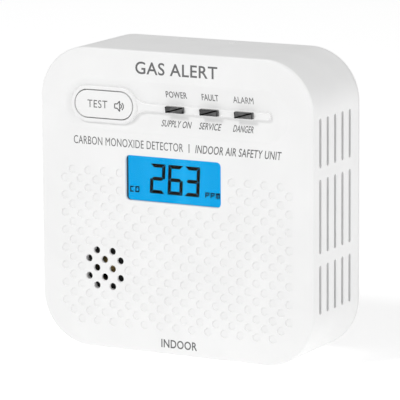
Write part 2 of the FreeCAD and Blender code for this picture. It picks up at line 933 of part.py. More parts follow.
def mounting_bracket():
    """A round plate with a rim, four bayonet tabs, two wall screw holes and two arc slots."""
    front = body_depth - bracket_rim_height
    plate_front = body_depth - bracket_plate
    shapes = [disc(bracket_radius, plate_front, body_depth)]
    shapes.append(ring(bracket_radius, bracket_radius - bracket_rim_width, front, body_depth))
    for centre in tab_centres:
        start = centre - tab_angle / 2
        end = centre + tab_angle / 2
        shapes.append(ring_sector(bracket_radius - 1, bracket_radius + tab_reach, start, end,
                                  front, front + tab_thickness))
    window_rim = 2.0
    shapes.append(rounded(bracket_window_width + 2 * window_rim, bracket_window_height + 2 * window_rim,
                          bracket_window_radius + window_rim, front, body_depth))
    bracket = joined(shapes)
    cuts = [rounded(bracket_window_width, bracket_window_height, bracket_window_radius, 0, body_depth + 1)]
    for side in (-1, 1):
        cuts.append(disc(wall_screw_radius, 0, body_depth + 1, 0, middle_z + side * wall_screw_spacing / 2))
        centre = 90.0 - side * 90.0
        inner = arc_slot_radius - arc_slot_width / 2
        outer = arc_slot_radius + arc_slot_width / 2
        start = centre - arc_slot_angle
        end = centre + arc_slot_angle
        cuts.append(ring_sector(inner, outer, start, end, 0, body_depth + 1))
    return bracket.cut(cuts)


def cross_recess(x, z, radius, depth):
    reach = 1.2 * radius
    slots = [block(reach, recess_width, depth - recess_depth, depth + 1, x, z)]
    slots.append(block(recess_width, reach, depth - recess_depth, depth + 1, x, z))
    return slots


def screw(x, z, seat, shank_radius, shank_length, head_radius, head_height):
    """A screw driven in from the rear: the head's underside lies at depth seat."""
    head = disc(head_radius, seat, seat + head_height, x, z)
    head = head.makeFillet(screw_head_round, edges_at(head, seat + head_height))
    shank = disc(shank_radius, seat - shank_length, seat + 0.1, x, z)
    return head.fuse(shank).removeSplitter().cut(cross_recess(x, z, head_radius, seat + head_height))


def case_screws():
    seat = body_depth - case_seat_sink
    length = case_screw_length - screw_tip_room
    return group([screw(x, z, seat, case_screw_radius, length, case_head_radius, case_head_height)
                  for x, z in case_screw_places()])


def board_screws():
    length = board_screw_length - screw_tip_room / 2
    return group([screw(x, z, board_back, board_screw_radius, length, board_head_radius, board_head_height)
                  for x, z in post_places])


def rating_label():
    far = recess_floor + label_thickness
    return rounded(label_width, label_height, label_radius, recess_floor, far, 0, middle_z + label_offset)


nodes = {
    "front_cover": front_cover(),
    "rear_cover": rear_cover(),
    "mounting_bracket": mounting_bracket(),
    "test_button": test_button(),
    "switch_body": switch_body(),
    "switch_plunger": switch_plunger(),
    "display_lens": display_lens(),
    "display_gasket": display_gasket(),
    "lcd_polarizer": lcd_polarizer(),
    "lcd_front_glass": lcd_front_glass(),
    "lcd_rear_glass": lcd_rear_glass(),
    "backlight_guide": backlight_guide(),
    "backlight_leds": backlight_leds(),
    "zebra_strips": zebra_strips(),
    "lcd_frame": lcd_frame(),
    "main_board": main_board(),
    "sounder_seal": sounder_seal(),
    "sounder_housing": sounder_housing(),
    "sounder_disc": sounder_disc(),
    "sounder_pins": sounder_pins(),
    "co_sensor_base": co_sensor_base(),
    "co_sensor_can": co_sensor_can(),
    "co_sensor_cap": co_sensor_cap(),
    "microcontroller": microcontroller(),
    "capacitors": capacitors(),
    "boost_coil": boost_coil(),
    "crystal_can": crystal_can(),
    "chip_resistors": chip_resistors(),
    "driver_transistors": driver_transistors(),
    "battery_upper": cell(1),
    "battery_lower": cell(-1),
    "contact_negative": contact_with_tail(middle_z + cell_pitch / 2),
    "contact_positive": contact_with_tail(middle_z - cell_pitch / 2),
    "contact_bridge": contact_bridge(),
    "battery_springs": battery_springs(),
    "case_screws": case_screws(),
    "board_screws": board_screws(),
    "rating_label": rating_label(),
}
for name, x in indicator_xs.items():
    nodes["light_pipe_" + name] = light_pipe(x)
    nodes["led_" + name] = indicator_led(x)

for name, shape in nodes.items():
    shape.exportStep("parts/" + name + ".step")
    print(name, len(shape.Solids), round(shape.Volume, 2), shape.isValid())
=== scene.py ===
import bpy
import bmesh
import math
from mathutils import Matrix, Vector


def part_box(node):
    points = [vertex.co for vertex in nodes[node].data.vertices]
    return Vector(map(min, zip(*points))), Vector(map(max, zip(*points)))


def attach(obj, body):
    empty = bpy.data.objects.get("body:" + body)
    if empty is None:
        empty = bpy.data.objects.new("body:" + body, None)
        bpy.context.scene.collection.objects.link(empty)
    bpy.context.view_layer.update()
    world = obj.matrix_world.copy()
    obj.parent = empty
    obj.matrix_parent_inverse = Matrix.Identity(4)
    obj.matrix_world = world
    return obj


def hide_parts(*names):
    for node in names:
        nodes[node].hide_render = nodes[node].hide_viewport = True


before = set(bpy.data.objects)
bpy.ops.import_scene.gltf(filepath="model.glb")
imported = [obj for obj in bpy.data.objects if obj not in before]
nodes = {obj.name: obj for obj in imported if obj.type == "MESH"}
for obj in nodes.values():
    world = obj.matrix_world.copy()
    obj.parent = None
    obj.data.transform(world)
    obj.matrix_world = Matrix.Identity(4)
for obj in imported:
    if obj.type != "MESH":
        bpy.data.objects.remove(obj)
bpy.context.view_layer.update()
print("stage: frame loaded")

# everything is in metres; "depth" is measured from the flat front face towards the wall
mm = 0.001
coverLow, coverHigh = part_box("front_cover")
frontY = coverLow.y
bodyWidth = coverHigh.x - coverLow.x
bodyHeight = coverHigh.z - coverLow.z
skirtEnd = coverHigh.y - frontY
middleZ = bodyHeight / 2
cornerRadius = 17.5 * mm
wall = 2.0 * mm
sameSpot = 0.001 * mm       # points closer than this are one point
lead = 0.3 * mm             # how far a cutter starts outside the face that it cuts
past = 0.5 * mm             # how far a cutter runs on through a wall
wellPast = 1.0 * mm         # the same, where there is room for more


def at(depth):
    return frontY + depth


def centreOf(node):
    low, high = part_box(node)
    return (low + high) / 2


def sizeOf(node):
    low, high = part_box(node)
    return high - low


# ---- small modelling helpers

def clearSelection():
    if bpy.context.mode != "OBJECT":
        bpy.ops.object.mode_set(mode="OBJECT")
    bpy.ops.object.select_all(action="DESELECT")


def makeActive(piece):
    clearSelection()
    piece.select_set(True)
    bpy.context.view_layer.objects.active = piece


def duplicate(piece, offset):
    copy = piece.copy()
    copy.data = piece.data.copy()
    bpy.context.scene.collection.objects.link(copy)
    copy.location = piece.location + Vector(offset)
    return copy


def joinAll(pieces, name):
    clearSelection()
    for piece in pieces:
        piece.select_set(True)
    bpy.context.view_layer.objects.active = pieces[0]
    bpy.ops.object.transform_apply(location=True, rotation=True, scale=True)
    if len(pieces) > 1:
        bpy.ops.object.join()
    pieces[0].name = name
    return pieces[0]


def selectEdges(piece, test):
    makeActive(piece)
    bpy.ops.object.mode_set(mode="EDIT")
    bpy.ops.mesh.select_mode(type="EDGE")
    bpy.ops.mesh.select_all(action="DESELECT")
    shape = bmesh.from_edit_mesh(piece.data)
    for edge in shape.edges:
        if test(edge):
            edge.select_set(True)
    bmesh.update_edit_mesh(piece.data)


def inPlane(vertices, y):
    return all(abs(v.co.y - y) < 2 * sameSpot for v in vertices)


def roundRim(piece, y, radius, segments=4):
    selectEdges(piece, lambda e: inPlane(e.verts, y) and len(e.link_faces) == 2
                and not all(inPlane(f.verts, y) for f in e.link_faces))
    bpy.ops.mesh.bevel(offset=radius, segments=segments, affect="EDGES", profile=0.5)
    bpy.ops.object.mode_set(mode="OBJECT")


def boolean(piece, tool, operation):
    makeActive(piece)
    modifier = piece.modifiers.new("cut", "BOOLEAN")
    modifier.operation = operation
    modifier.solver = "EXACT"
    modifier.object = tool
    bpy.ops.object.modifier_apply(modifier=modifier.name)
    bpy.data.objects.remove(tool)


def smooth(piece, degrees=35, weighted=True):
    makeActive(piece)
    bpy.ops.object.shade_smooth_by_angle(angle=math.radians(degrees))
    if weighted:
        modifier = piece.modifiers.new("even", "WEIGHTED_NORMAL")
        modifier.keep_sharp = True
        modifier.weight = 80
        bpy.ops.object.modifier_apply(modifier=modifier.name)


def finishPiece(piece, body, material, replaced=()):
    piece.data.materials.clear()
    piece.data.materials.append(material)
    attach(piece, body)
    if replaced:
        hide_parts(*replaced)


# ---- outlines seen from the front, as lists of (x, z)

def arcPoints(x, z, radius, start, end, steps):
    points = []
    for step in range(steps + 1):
        turn = math.radians(start + (end - start) * step / steps)
        points.append((x + radius * math.cos(turn), z + radius * math.sin(turn)))
    return points


def tidied(points):
    kept = []
    for point in points:
        if not kept or math.dist(point, kept[-1]) > sameSpot:
            kept.append(point)
    if math.dist(kept[0], kept[-1]) < sameSpot:
        kept.pop()
    return kept


def roundedPoints(width, height, radius, x=0.0, z=0.0, steps=8):
    right = x + width / 2 - radius
    left = x - width / 2 + radius
    high = z + height / 2 - radius
    low = z - height / 2 + radius
    points = arcPoints(right, high, radius, 0, 90, steps)
    points += arcPoints(left, high, radius, 90, 180, steps)
    points += arcPoints(left, low, radius, 180, 270, steps)
    points += arcPoints(right, low, radius, 270, 360, steps)
    return tidied(points)


def pillPoints(length, height, x=0.0, z=0.0, steps=12):
    return roundedPoints(length, height, height / 2, x, z, steps)


def outlined(name, points, depth):
    bpy.ops.mesh.primitive_circle_add(vertices=len(points), radius=1, fill_type="NGON")
    piece = bpy.context.object
    piece.name = name
    for vertex, (x, z) in zip(piece.data.vertices, points):
        vertex.co = (x, at(depth), z)
    bpy.ops.object.mode_set(mode="EDIT")
    bpy.ops.mesh.select_mode(type="FACE")
    bpy.ops.mesh.select_all(action="SELECT")
    return piece


def grown(name, points, start, steps):
    # steps are (inset, deeper) pairs: a plain extrusion where inset is 0
    clearSelection()
    piece = outlined(name, points, start)
    for inset, deeper in steps:
        if inset == 0:
            bpy.ops.mesh.extrude_region_move(TRANSFORM_OT_translate={"value": (0, deeper, 0)})
        else:
            bpy.ops.mesh.inset(thickness=inset, depth=0)
            bpy.ops.transform.translate(value=(0, deeper, 0))
    bpy.ops.mesh.select_all(action="SELECT")
    bpy.ops.mesh.normals_make_consistent(inside=False)
    bpy.ops.object.mode_set(mode="OBJECT")
    return piece


def slab(name, points, near, far):
    return grown(name, points, near, [(0, far - near)])


def discPoints(radius, x=0.0, z=0.0, steps=24):
    return tidied(arcPoints(x, z, radius, 0, 360, steps))


def softMouth(radius, steps=4):
    # (inset, deeper) pairs that round a hole's edge over into the face around it
    pairs = []
    for step in range(steps):
        here = math.radians(90 * step / steps)
        there = math.radians(90 * (step + 1) / steps)
        inset = radius * (math.sin(there) - math.sin(here))
        pairs.append((inset, radius * (math.cos(here) - math.cos(there))))
    return pairs


def softFloor(radius, steps=3):
    # (inset, deeper) pairs that round a hole's wall into its flat floor
    pairs = []
    for step in range(steps):
        here = math.radians(90 * step / steps)
        there = math.radians(90 * (step + 1) / steps)
        inset = radius * (math.cos(here) - math.cos(there))
        pairs.append((inset, radius * (math.sin(there) - math.sin(here))))
    return pairs


# ---- materials

def newMaterial(name):
    material = bpy.data.materials.new(name)
    material.use_nodes = True
    shader = material.node_tree.nodes["Principled BSDF"]
    return material, material.node_tree, shader


def noiseNode(tree, scale, detail, stretch=(1, 1, 1)):
    place = tree.nodes.new("ShaderNodeTexCoord")
    mapping = tree.nodes.new("ShaderNodeMapping")
    mapping.inputs["Scale"].default_value = stretch
    noise = tree.nodes.new("ShaderNodeTexNoise")
    noise.inputs["Scale"].default_value = scale
    noise.inputs["Detail"].default_value = detail
    tree.links.new(place.outputs["Object"], mapping.inputs["Vector"])
    tree.links.new(mapping.outputs["Vector"], noise.inputs["Vector"])
    return noise.outputs["Fac"]


def rampNode(tree, value, low, high, start=0.35, end=0.65):
    ramp = tree.nodes.new("ShaderNodeValToRGB")
    ramp.color_ramp.elements[0].position = start
    ramp.color_ramp.elements[1].position = end
    ramp.color_ramp.elements[0].color = (*low, 1)
    ramp.color_ramp.elements[1].color = (*high, 1)
    tree.links.new(value, ramp.inputs["Fac"])
    return ramp.outputs["Color"]


def rangeNode(tree, value, low, high):
    spread = tree.nodes.new("ShaderNodeMapRange")
    spread.inputs["From Min"].default_value = 0.3
    spread.inputs["From Max"].default_value = 0.7
    spread.inputs["To Min"].default_value = low
    spread.inputs["To Max"].default_value = high
    tree.links.new(value, spread.inputs["Value"])
    return spread.outputs["Result"]


def surface(name, look):
    # one finish: two close colours, uneven gloss and a fine grain, all from noise
    material, tree, shader = newMaterial(name)
    stretch = look.get("stretch", (1, 1, 1))
    patches = noiseNode(tree, look.get("patchScale", 60), 3, stretch)
    tree.links.new(rampNode(tree, patches, look["dark"], look["light"]), shader.inputs["Base Color"])
    smudges = noiseNode(tree, 140, 4, stretch)
    tree.links.new(rangeNode(tree, smudges, *look["roughness"]), shader.inputs["Roughness"])
    shader.inputs["Metallic"].default_value = look.get("metallic", 0.0)
    shader.inputs["Specular IOR Level"].default_value = look.get("specular", 0.5)
    if look.get("grain"):
        bump = tree.nodes.new("ShaderNodeBump")
        bump.inputs["Strength"].default_value = look.get("grainStrength", 0.35)
        bump.inputs["Distance"].default_value = look["grain"]
        tree.links.new(noiseNode(tree, look.get("grainScale", 4000), 2, stretch), bump.inputs["Height"])
        tree.links.new(bump.outputs["Normal"], shader.inputs["Normal"])
    return material


casingLook = {"dark": (0.86, 0.86, 0.858), "light": (0.885, 0.885, 0.883), "roughness": (0.42, 0.52),
              "grain": 0.02 * mm, "grainScale": 2600, "grainStrength": 0.25}
bracketLook = {"dark": (0.80, 0.80, 0.795), "light": (0.84, 0.84, 0.835), "roughness": (0.40, 0.55),
               "grain": 0.03 * mm, "grainScale": 2200, "grainStrength": 0.35}
buttonLook = {"dark": (0.865, 0.865, 0.862), "light": (0.885, 0.885, 0.882), "roughness": (0.34, 0.42),
              "grain": 0.015 * mm, "grainScale": 3000, "grainStrength": 0.2}
blackPlasticLook = {"dark": (0.012, 0.012, 0.013), "light": (0.022, 0.022, 0.024), "roughness": (0.35, 0.55),
                    "grain": 0.02 * mm, "grainScale": 3000}
foamLook = {"dark": (0.12, 0.10, 0.09), "light": (0.19, 0.16, 0.145), "roughness": (0.75, 0.9),
            "grain": 0.08 * mm, "grainScale": 3500, "grainStrength": 0.6}
# foam gasket behind the display lens: its grey-brown tone is painted shade for the shaded inner wall of the
# display window
gasketPaintedShadeLook = {"dark": (0.40, 0.36, 0.33), "light": (0.50, 0.46, 0.42), "roughness": (0.75, 0.9),
              "grain": 0.08 * mm, "grainScale": 3500, "grainStrength": 0.6}
carrierLook = {"dark": (0.62, 0.62, 0.60), "light": (0.68, 0.68, 0.66), "roughness": (0.45, 0.6),
               "grain": 0.02 * mm}
boardLook = {"dark": (0.008, 0.07, 0.028), "light": (0.014, 0.12, 0.05), "roughness": (0.25, 0.4),
             "patchScale": 350, "grain": 0.03 * mm, "grainScale": 1500}
sounderLook = {"dark": (0.012, 0.012, 0.013), "light": (0.022, 0.022, 0.024), "roughness": (0.45, 0.6),
               "grain": 0.02 * mm}
brassLook = {"dark": (0.60, 0.43, 0.16), "light": (0.74, 0.56, 0.26), "roughness": (0.2, 0.38),
             "metallic": 1.0, "grain": 0.01 * mm}
steelLook = {"dark": (0.50, 0.50, 0.49), "light": (0.66, 0.66, 0.65), "roughness": (0.2, 0.4),
             "metallic": 1.0, "stretch": (1, 8, 1), "grain": 0.01 * mm}
screwLook = {"dark": (0.42, 0.42, 0.44), "light": (0.62, 0.62, 0.64), "roughness": (0.25, 0.45),
             "metallic": 1.0, "grain": 0.015 * mm}
sleeveLook = {"dark": (0.008, 0.012, 0.05), "light": (0.014, 0.022, 0.08), "roughness": (0.2, 0.35)}
copperLook = {"dark": (0.30, 0.09, 0.03), "light": (0.55, 0.20, 0.08), "roughness": (0.25, 0.4),
              "metallic": 0.8, "stretch": (0.1, 6, 0.1), "patchScale": 900, "grain": 0.1 * mm,
              "grainScale": 900}
labelLook = {"dark": (0.60, 0.61, 0.62), "light": (0.70, 0.71, 0.72), "roughness": (0.3, 0.45)}
lampLook = {"dark": (0.70, 0.70, 0.60), "light": (0.85, 0.85, 0.76), "roughness": (0.15, 0.3)}
diffuserLook = {"dark": (0.75, 0.82, 0.88), "light": (0.84, 0.90, 0.95), "roughness": (0.2, 0.35)}
stripLook = {"dark": (0.02, 0.02, 0.022), "light": (0.20, 0.20, 0.21), "roughness": (0.5, 0.7),
             "stretch": (40, 0.1, 0.1), "patchScale": 100, "grain": 0.01 * mm}
inkLook = {"dark": (0.11, 0.11, 0.112), "light": (0.14, 0.14, 0.142), "roughness": (0.45, 0.6)}
segmentLook = {"dark": (0.006, 0.004, 0.002), "light": (0.014, 0.009, 0.005), "roughness": (0.5, 0.6),
               "specular": 0.05}

casingMaterial = surface("casingWhite", casingLook)
bracketMaterial = surface("bracketWhite", bracketLook)
buttonMaterial = surface("buttonWhite", buttonLook)
inkMaterial = surface("greyInk", inkLook)
segmentMaterial = surface("displaySegments", segmentLook)
steelMaterial = surface("platedSteel", steelLook)


# the paler streak colour is painted light inside the smoked block, not a colour of the plastic
smokedLook = {"streakScale": 260, "stretch": (1, 0.2, 1.4), "dark": (0.012, 0.012, 0.013),
              "light": (0.11, 0.11, 0.112), "start": 0.42, "end": 0.66, "roughness": 0.12, "ior": 1.49,
              "coat": 0.5, "coatRoughness": 0.04}


def smokedMaterial():
    # dark clear plastic: the little light that gets in is painted into the base colour as paler streaks deep
    # in the block
    material, tree, shader = newMaterial("smokedClear")
    streaks = noiseNode(tree, smokedLook["streakScale"], 2, smokedLook["stretch"])
    paintedInnerLight = rampNode(tree, streaks, smokedLook["dark"], smokedLook["light"], smokedLook["start"],
                    smokedLook["end"])
    tree.links.new(paintedInnerLight, shader.inputs["Base Color"])
    shader.inputs["Roughness"].default_value = smokedLook["roughness"]
    shader.inputs["IOR"].default_value = smokedLook["ior"]
    shader.inputs["Coat Weight"].default_value = smokedLook["coat"]
    shader.inputs["Coat Roughness"].default_value = smokedLook["coatRoughness"]
    return material


displayLook = {"streakScale": 130, "stretch": (1, 1, 0.04), "low": (0.0, 0.365, 0.80),
               "high": (0.015, 0.45, 0.88), "start": 0.4, "end": 0.75, "glow": 0.98, "specular": 0.05,
               "base": (0.0, 0.02, 0.05), "roughness": 0.35}


def litDisplayMaterial():
    # an evenly lit blue film with faint upright streaks from the lamps behind it
    material, tree, shader = newMaterial("litDisplay")
    streaks = noiseNode(tree, displayLook["streakScale"], 3, displayLook["stretch"])
    colour = rampNode(tree, streaks, displayLook["low"], displayLook["high"], displayLook["start"],
                      displayLook["end"])
    tree.links.new(colour, shader.inputs["Emission Color"])
    shader.inputs["Emission Strength"].default_value = displayLook["glow"]
    shader.inputs["Specular IOR Level"].default_value = displayLook["specular"]
    shader.inputs["Base Color"].default_value = (*displayLook["base"], 1)
    shader.inputs["Roughness"].default_value = displayLook["roughness"]
    return material


def clearMaterial(name, tint, roughness, ior=1.49):
    material, tree, shader = newMaterial(name)
    haze = noiseNode(tree, 90, 3)
    tree.links.new(rangeNode(tree, haze, roughness, roughness + 0.03), shader.inputs["Roughness"])
    shader.inputs["Base Color"].default_value = (*tint, 1)
    shader.inputs["Transmission Weight"].default_value = 1.0
    shader.inputs["IOR"].default_value = ior
    return material


jacketLook = {"bandAt": 14.0 * mm, "bandBlur": 0.1 * mm, "sleeve": (0.012, 0.012, 0.014),
              "band": (0.42, 0.22, 0.09), "scuffScale": 300, "roughness": (0.18, 0.34), "metallic": 0.7}


def jacketMaterial():
    # a battery jacket: dark sleeve with a copper-coloured band towards each end
    material, tree, shader = newMaterial("cellJacket")
    place = tree.nodes.new("ShaderNodeTexCoord")
    split = tree.nodes.new("ShaderNodeSeparateXYZ")
    tree.links.new(place.outputs["Object"], split.inputs["Vector"])
    side = tree.nodes.new("ShaderNodeMath")
    side.operation = "ABSOLUTE"
    tree.links.new(split.outputs["X"], side.inputs[0])
    band = tree.nodes.new("ShaderNodeMapRange")
    band.inputs["From Min"].default_value = jacketLook["bandAt"] - jacketLook["bandBlur"]
    band.inputs["From Max"].default_value = jacketLook["bandAt"] + jacketLook["bandBlur"]
    tree.links.new(side.outputs["Value"], band.inputs["Value"])
    tree.links.new(rampNode(tree, band.outputs["Result"], jacketLook["sleeve"], jacketLook["band"], 0.4, 0.6),
                   shader.inputs["Base Color"])
    scuffs = noiseNode(tree, jacketLook["scuffScale"], 4)
    tree.links.new(rangeNode(tree, scuffs, *jacketLook["roughness"]), shader.inputs["Roughness"])
    shader.inputs["Metallic"].default_value = jacketLook["metallic"]
    return material


nodeLooks = {
    "rear_cover": casingMaterial,
    "mounting_bracket": bracketMaterial,
    "switch_body": surface("switchBlack", blackPlasticLook),
    "switch_plunger": surface("plungerBlack", blackPlasticLook),
    "sounder_seal": surface("sealFoam", foamLook),
    "lcd_front_glass": clearMaterial("displayGlass", (0.80, 0.90, 0.92), 0.03),
    "lcd_rear_glass": clearMaterial("displayGlassRear", (0.80, 0.90, 0.92), 0.03),
    "backlight_guide": surface("diffuser", diffuserLook),
    "backlight_leds": surface("lampClear", lampLook),
    "zebra_strips": surface("contactRubber", stripLook),
    "lcd_frame": surface("carrierWhite", carrierLook),
    "main_board": surface("boardGreen", boardLook),
    "sounder_housing": surface("sounderGrey", sounderLook),
    "sounder_disc": surface("discBrass", brassLook),
    "sounder_pins": steelMaterial,
    "co_sensor_base": surface("sensorBase", blackPlasticLook),
    "co_sensor_can": surface("sensorCan", steelLook),
    "co_sensor_cap": surface("sensorCap", blackPlasticLook),
    "microcontroller": surface("chipBlack", blackPlasticLook),
    "capacitors": surface("capacitorSleeve", sleeveLook),
    "boost_coil": surface("coilCopper", copperLook),
    "crystal_can": surface("crystalCan", steelLook),
    "chip_resistors": surface("resistorBlack", blackPlasticLook),
    "driver_transistors": surface("transistorBlack", blackPlasticLook),
    "battery_upper": jacketMaterial(),
    "battery_lower": jacketMaterial(),
    "contact_negative": steelMaterial,
    "contact_positive": steelMaterial,
    "contact_bridge": steelMaterial,
    "case_screws": surface("zincScrew", screwLook),
    "board_screws": surface("zincScrewSmall", screwLook),
    "rating_label": surface("silverLabel", labelLook),
    "led_power": surface("lampBodyPower", lampLook),
    "led_fault": surface("lampBodyFault", lampLook),
    "led_alarm": surface("lampBodyAlarm", lampLook),
}
for name, material in nodeLooks.items():
    nodes[name].data.materials.clear()
    nodes[name].data.materials.append(material)
print("stage: materials on the carried-over pieces")


# ---- front cover

shellSizes = {"edgeRound": 0.9 * mm, "padBack": 3.8 * mm, "bossRadius": 3.5 * mm, "bossBack": 27.5 * mm,
              "postRadius": 3.0 * mm, "boardDepth": 10.5 * mm, "screwHole": 1.55 * mm, "screwTip": 16.5 * mm,
              "postHole": 1.15 * mm, "postTip": 6.1 * mm, "bossSink": 0.5 * mm,
              "posts": ((-36 * mm, 4.5 * mm), (36 * mm, 4.5 * mm)),
              "lowPosts": ((-8 * mm, 12 * mm), (35.5 * mm, 15.5 * mm))}
dishSizes = {"length": 81.6 * mm, "height": 16.85 * mm, "depth": 1.8 * mm, "fromTop": 18.7 * mm,
             "rimInner": 7.9 * mm, "rimSteps": 5, "bowlSteps": 12, "padMargin": 2.0 * mm,
             "flatHalf": 0.3 * mm}
ridgeSizes = {"collarLength": 24.3 * mm, "collarHeight": 11.95 * mm, "collarRound": 0.5 * mm,
              "barHeight": 2.35 * mm, "sink": 0.75 * mm, "endX": 34.4 * mm, "neck": 6.0 * mm,
              "barRound": 0.35 * mm, "root": 3.0 * mm}
buttonSizes = {"gap": 0.3 * mm, "mouthRound": 0.3 * mm, "edgeRound": 0.4 * mm, "skin": 1.6 * mm,
               "flange": 0.9 * mm, "flangeMargin": 1.0 * mm, "stemRadius": 1.6 * mm, "stemGap": 0.05 * mm,
               "length": 21.3 * mm, "height": 8.95 * mm}
pipeSizes = {"width": 6.5 * mm, "height": 2.1 * mm, "corner": 0.15 * mm, "gap": 0.05 * mm,
             "edgeRound": 0.22 * mm, "flangeNear": 3.8 * mm, "flangeFar": 4.8 * mm, "flangeMargin": 0.8 * mm,
             "flangeCorner": 0.3 * mm}
windowSizes = {"x": -0.85 * mm, "width": 35.0 * mm, "height": 14.9 * mm, "radius": 1.5 * mm,
               "fromTop": 42.15 * mm, "mouthRound": 0.3 * mm, "lensDepth": 0.9 * mm,
               "pocketWidth": 38.5 * mm, "pocketHeight": 18.9 * mm, "gasketGap": 0.1 * mm,
               "frameGap": 0.2 * mm, "frameCorner": 0.3 * mm}
latticeSizes = {"step": 2.944 * mm, "anchorZ": 32.65 * mm, "radius": 1.375 * mm, "depth": 0.36 * mm,
                "mouthRound": 0.13 * mm, "floorRound": 0.16 * mm, "edgeMargin": 8.0 * mm,
                "windowMargin": 1.9 * mm, "topZ": 60.05 * mm}
grilleSizes = {"x": -26.5 * mm, "z": 26.75 * mm, "reach": 7.0 * mm, "holeRadius": 1.2 * mm,
               "mouthRound": 0.12 * mm, "skin": 0.9 * mm, "relief": 7.2 * mm, "reliefPast": 0.1 * mm}
ventSizes = {"width": 1.6 * mm, "pitch": 5.45 * mm, "columns": 5, "firstDepth": 5.0 * mm,
             "middleLength": 24.2 * mm, "outerLength": 16.0 * mm, "outerOffset": 23.85 * mm,
             "drop": 0.45 * mm, "mouthRound": 0.15 * mm}
markSizes = {"depth": 0.18 * mm, "line": 0.35 * mm, "fromFront": 29.0 * mm, "lockWidth": 2.1 * mm,
             "lockHeight": 1.5 * mm, "lockCorner": 0.2 * mm, "lockZ": -0.55 * mm, "shackle": 0.85 * mm,
             "shackleZ": 0.8 * mm, "shackleBase": 0.35 * mm, "above": 0.2 * mm,
             "headLength": 1.3 * mm, "headHalf": 0.75 * mm,
             "locks": ((-14.85 * mm, 0.5 * mm), (6.35 * mm, 0.0)),
             "arrows": ((-11.3 * mm, -5.5 * mm), (2.5 * mm, -3.6 * mm))}

dishZ = bodyHeight - dishSizes["fromTop"]
windowZ = bodyHeight - windowSizes["fromTop"]
buttonX = centreOf("test_button").x
pipeNames = ("light_pipe_power", "light_pipe_fault", "light_pipe_alarm")
cornerShift = (cornerRadius - wall - shellSizes["bossRadius"] + shellSizes["bossSink"]) / math.sqrt(2)
bossX = bodyWidth / 2 - cornerRadius + cornerShift
bossRise = bodyHeight / 2 - cornerRadius + cornerShift
bossPlaces = [(x, middleZ + z) for x in (-bossX, bossX) for z in (-bossRise, bossRise)]
postPlaces = [(x, windowZ + rise) for x, rise in shellSizes["posts"]] + list(shellSizes["lowPosts"])


def dishBowlRadius():
    half = dishSizes["height"] / 2
    return (half ** 2 + dishSizes["depth"] ** 2) / (2 * dishSizes["depth"])


def dishDepthAt(offset):
    # depth of the trough this far from its centre line
    radius = dishBowlRadius()
    return dishSizes["depth"] - radius + math.sqrt(radius ** 2 - offset ** 2)


def dishCutter():
    inner = dishSizes["rimInner"]
    innerDepth = dishDepthAt(inner)
    slope = inner / math.sqrt(dishBowlRadius() ** 2 - inner ** 2)
    knee = inner + innerDepth / slope
    outer = 2 * knee - inner
    rings = [(outer, 0.0)]
    for step in range(1, dishSizes["rimSteps"] + 1):
        t = step / dishSizes["rimSteps"]
        offset = (1 - t) ** 2 * outer + 2 * t * (1 - t) * knee + t ** 2 * inner
        rings.append((offset, t ** 2 * innerDepth))
    for step in range(1, dishSizes["bowlSteps"] + 1):
        offset = inner * (1 - step / dishSizes["bowlSteps"]) + dishSizes["flatHalf"]
        rings.append((offset, dishDepthAt(offset)))
    steps = [(0, past)]
    for here, there in zip(rings, rings[1:]):
        steps.append((here[0] - there[0], there[1] - here[1]))
    straight = dishSizes["length"] - dishSizes["height"]
    points = pillPoints(straight + 2 * outer, 2 * outer, 0, dishZ, 24)
    return grown("dishCutter", points, -past, steps)


def ridgePoints():
    cap = ridgeSizes["collarHeight"] / 2
    bar = ridgeSizes["barHeight"] / 2
    neck = ridgeSizes["neck"]
    left = buttonX - ridgeSizes["collarLength"] / 2 + cap
    right = buttonX + ridgeSizes["collarLength"] / 2 - cap
    neckX = right + math.sqrt((cap + neck) ** 2 - (bar + neck) ** 2)
    lean = math.degrees(math.atan2(bar + neck, neckX - right))
    points = arcPoints(ridgeSizes["endX"] - bar, dishZ, bar, -90, 90, 10)
    points += arcPoints(neckX, dishZ + bar + neck, neck, 270, 180 + lean, 10)
    points += arcPoints(right, dishZ, cap, lean, 90, 10)
    points += arcPoints(left, dishZ, cap, 90, 270, 24)
    points += arcPoints(right, dishZ, cap, 270, 360 - lean, 10)
    points += arcPoints(neckX, dishZ - bar - neck, neck, 180 - lean, 90, 10)
    return tidied(points)


def latticePoints():
    points = []
    reach = int(max(bodyWidth, bodyHeight) / latticeSizes["step"])
    for column in range(-reach, reach + 1):
        for row in range(-reach, reach + 1):
            x = column * latticeSizes["step"]
            z = latticeSizes["anchorZ"] + row * latticeSizes["step"]
            if (column + row) % 2 == 0 and onDimpledField(x, z):
                points.append((x, z))
    return points


def onDimpledField(x, z):
    beyondX = max(abs(x) - (bodyWidth / 2 - cornerRadius), 0)
    beyondZ = max(abs(z - middleZ) - (bodyHeight / 2 - cornerRadius), 0)
    edgeDistance = cornerRadius - math.hypot(beyondX, beyondZ)
    besideWindow = abs(x) > windowSizes["width"] / 2 + latticeSizes["windowMargin"]
    belowWindow = z < windowZ - windowSizes["height"] / 2 - latticeSizes["windowMargin"]
    inside = edgeDistance > latticeSizes["edgeMargin"] and z < latticeSizes["topZ"]
    return inside and (besideWindow or belowWindow)


def latticeCutters():
    depth, mouth, floor = (latticeSizes[key] for key in ("depth", "mouthRound", "floorRound"))
    steps = [(0, lead)] + softMouth(mouth, 3) + [(0, depth - mouth - floor)] + softFloor(floor)
    dimple = grown("dimpleCutter", discPoints(latticeSizes["radius"] + mouth, 0, 0, 20), -lead, steps)
    mouth = grilleSizes["mouthRound"]
    steps = [(0, lead)] + softMouth(mouth, 3) + [(0, wall + past)]
    hole = grown("grilleCutter", discPoints(grilleSizes["holeRadius"] + mouth, 0, 0, 24), -lead, steps)
    cutters = []
    for x, z in latticePoints():
        inGrille = math.hypot(x - grilleSizes["x"], z - grilleSizes["z"]) < grilleSizes["reach"]
        cutters.append(duplicate(hole if inGrille else dimple, (x, 0, z)))
    bpy.data.objects.remove(dimple)
    bpy.data.objects.remove(hole)
    return cutters


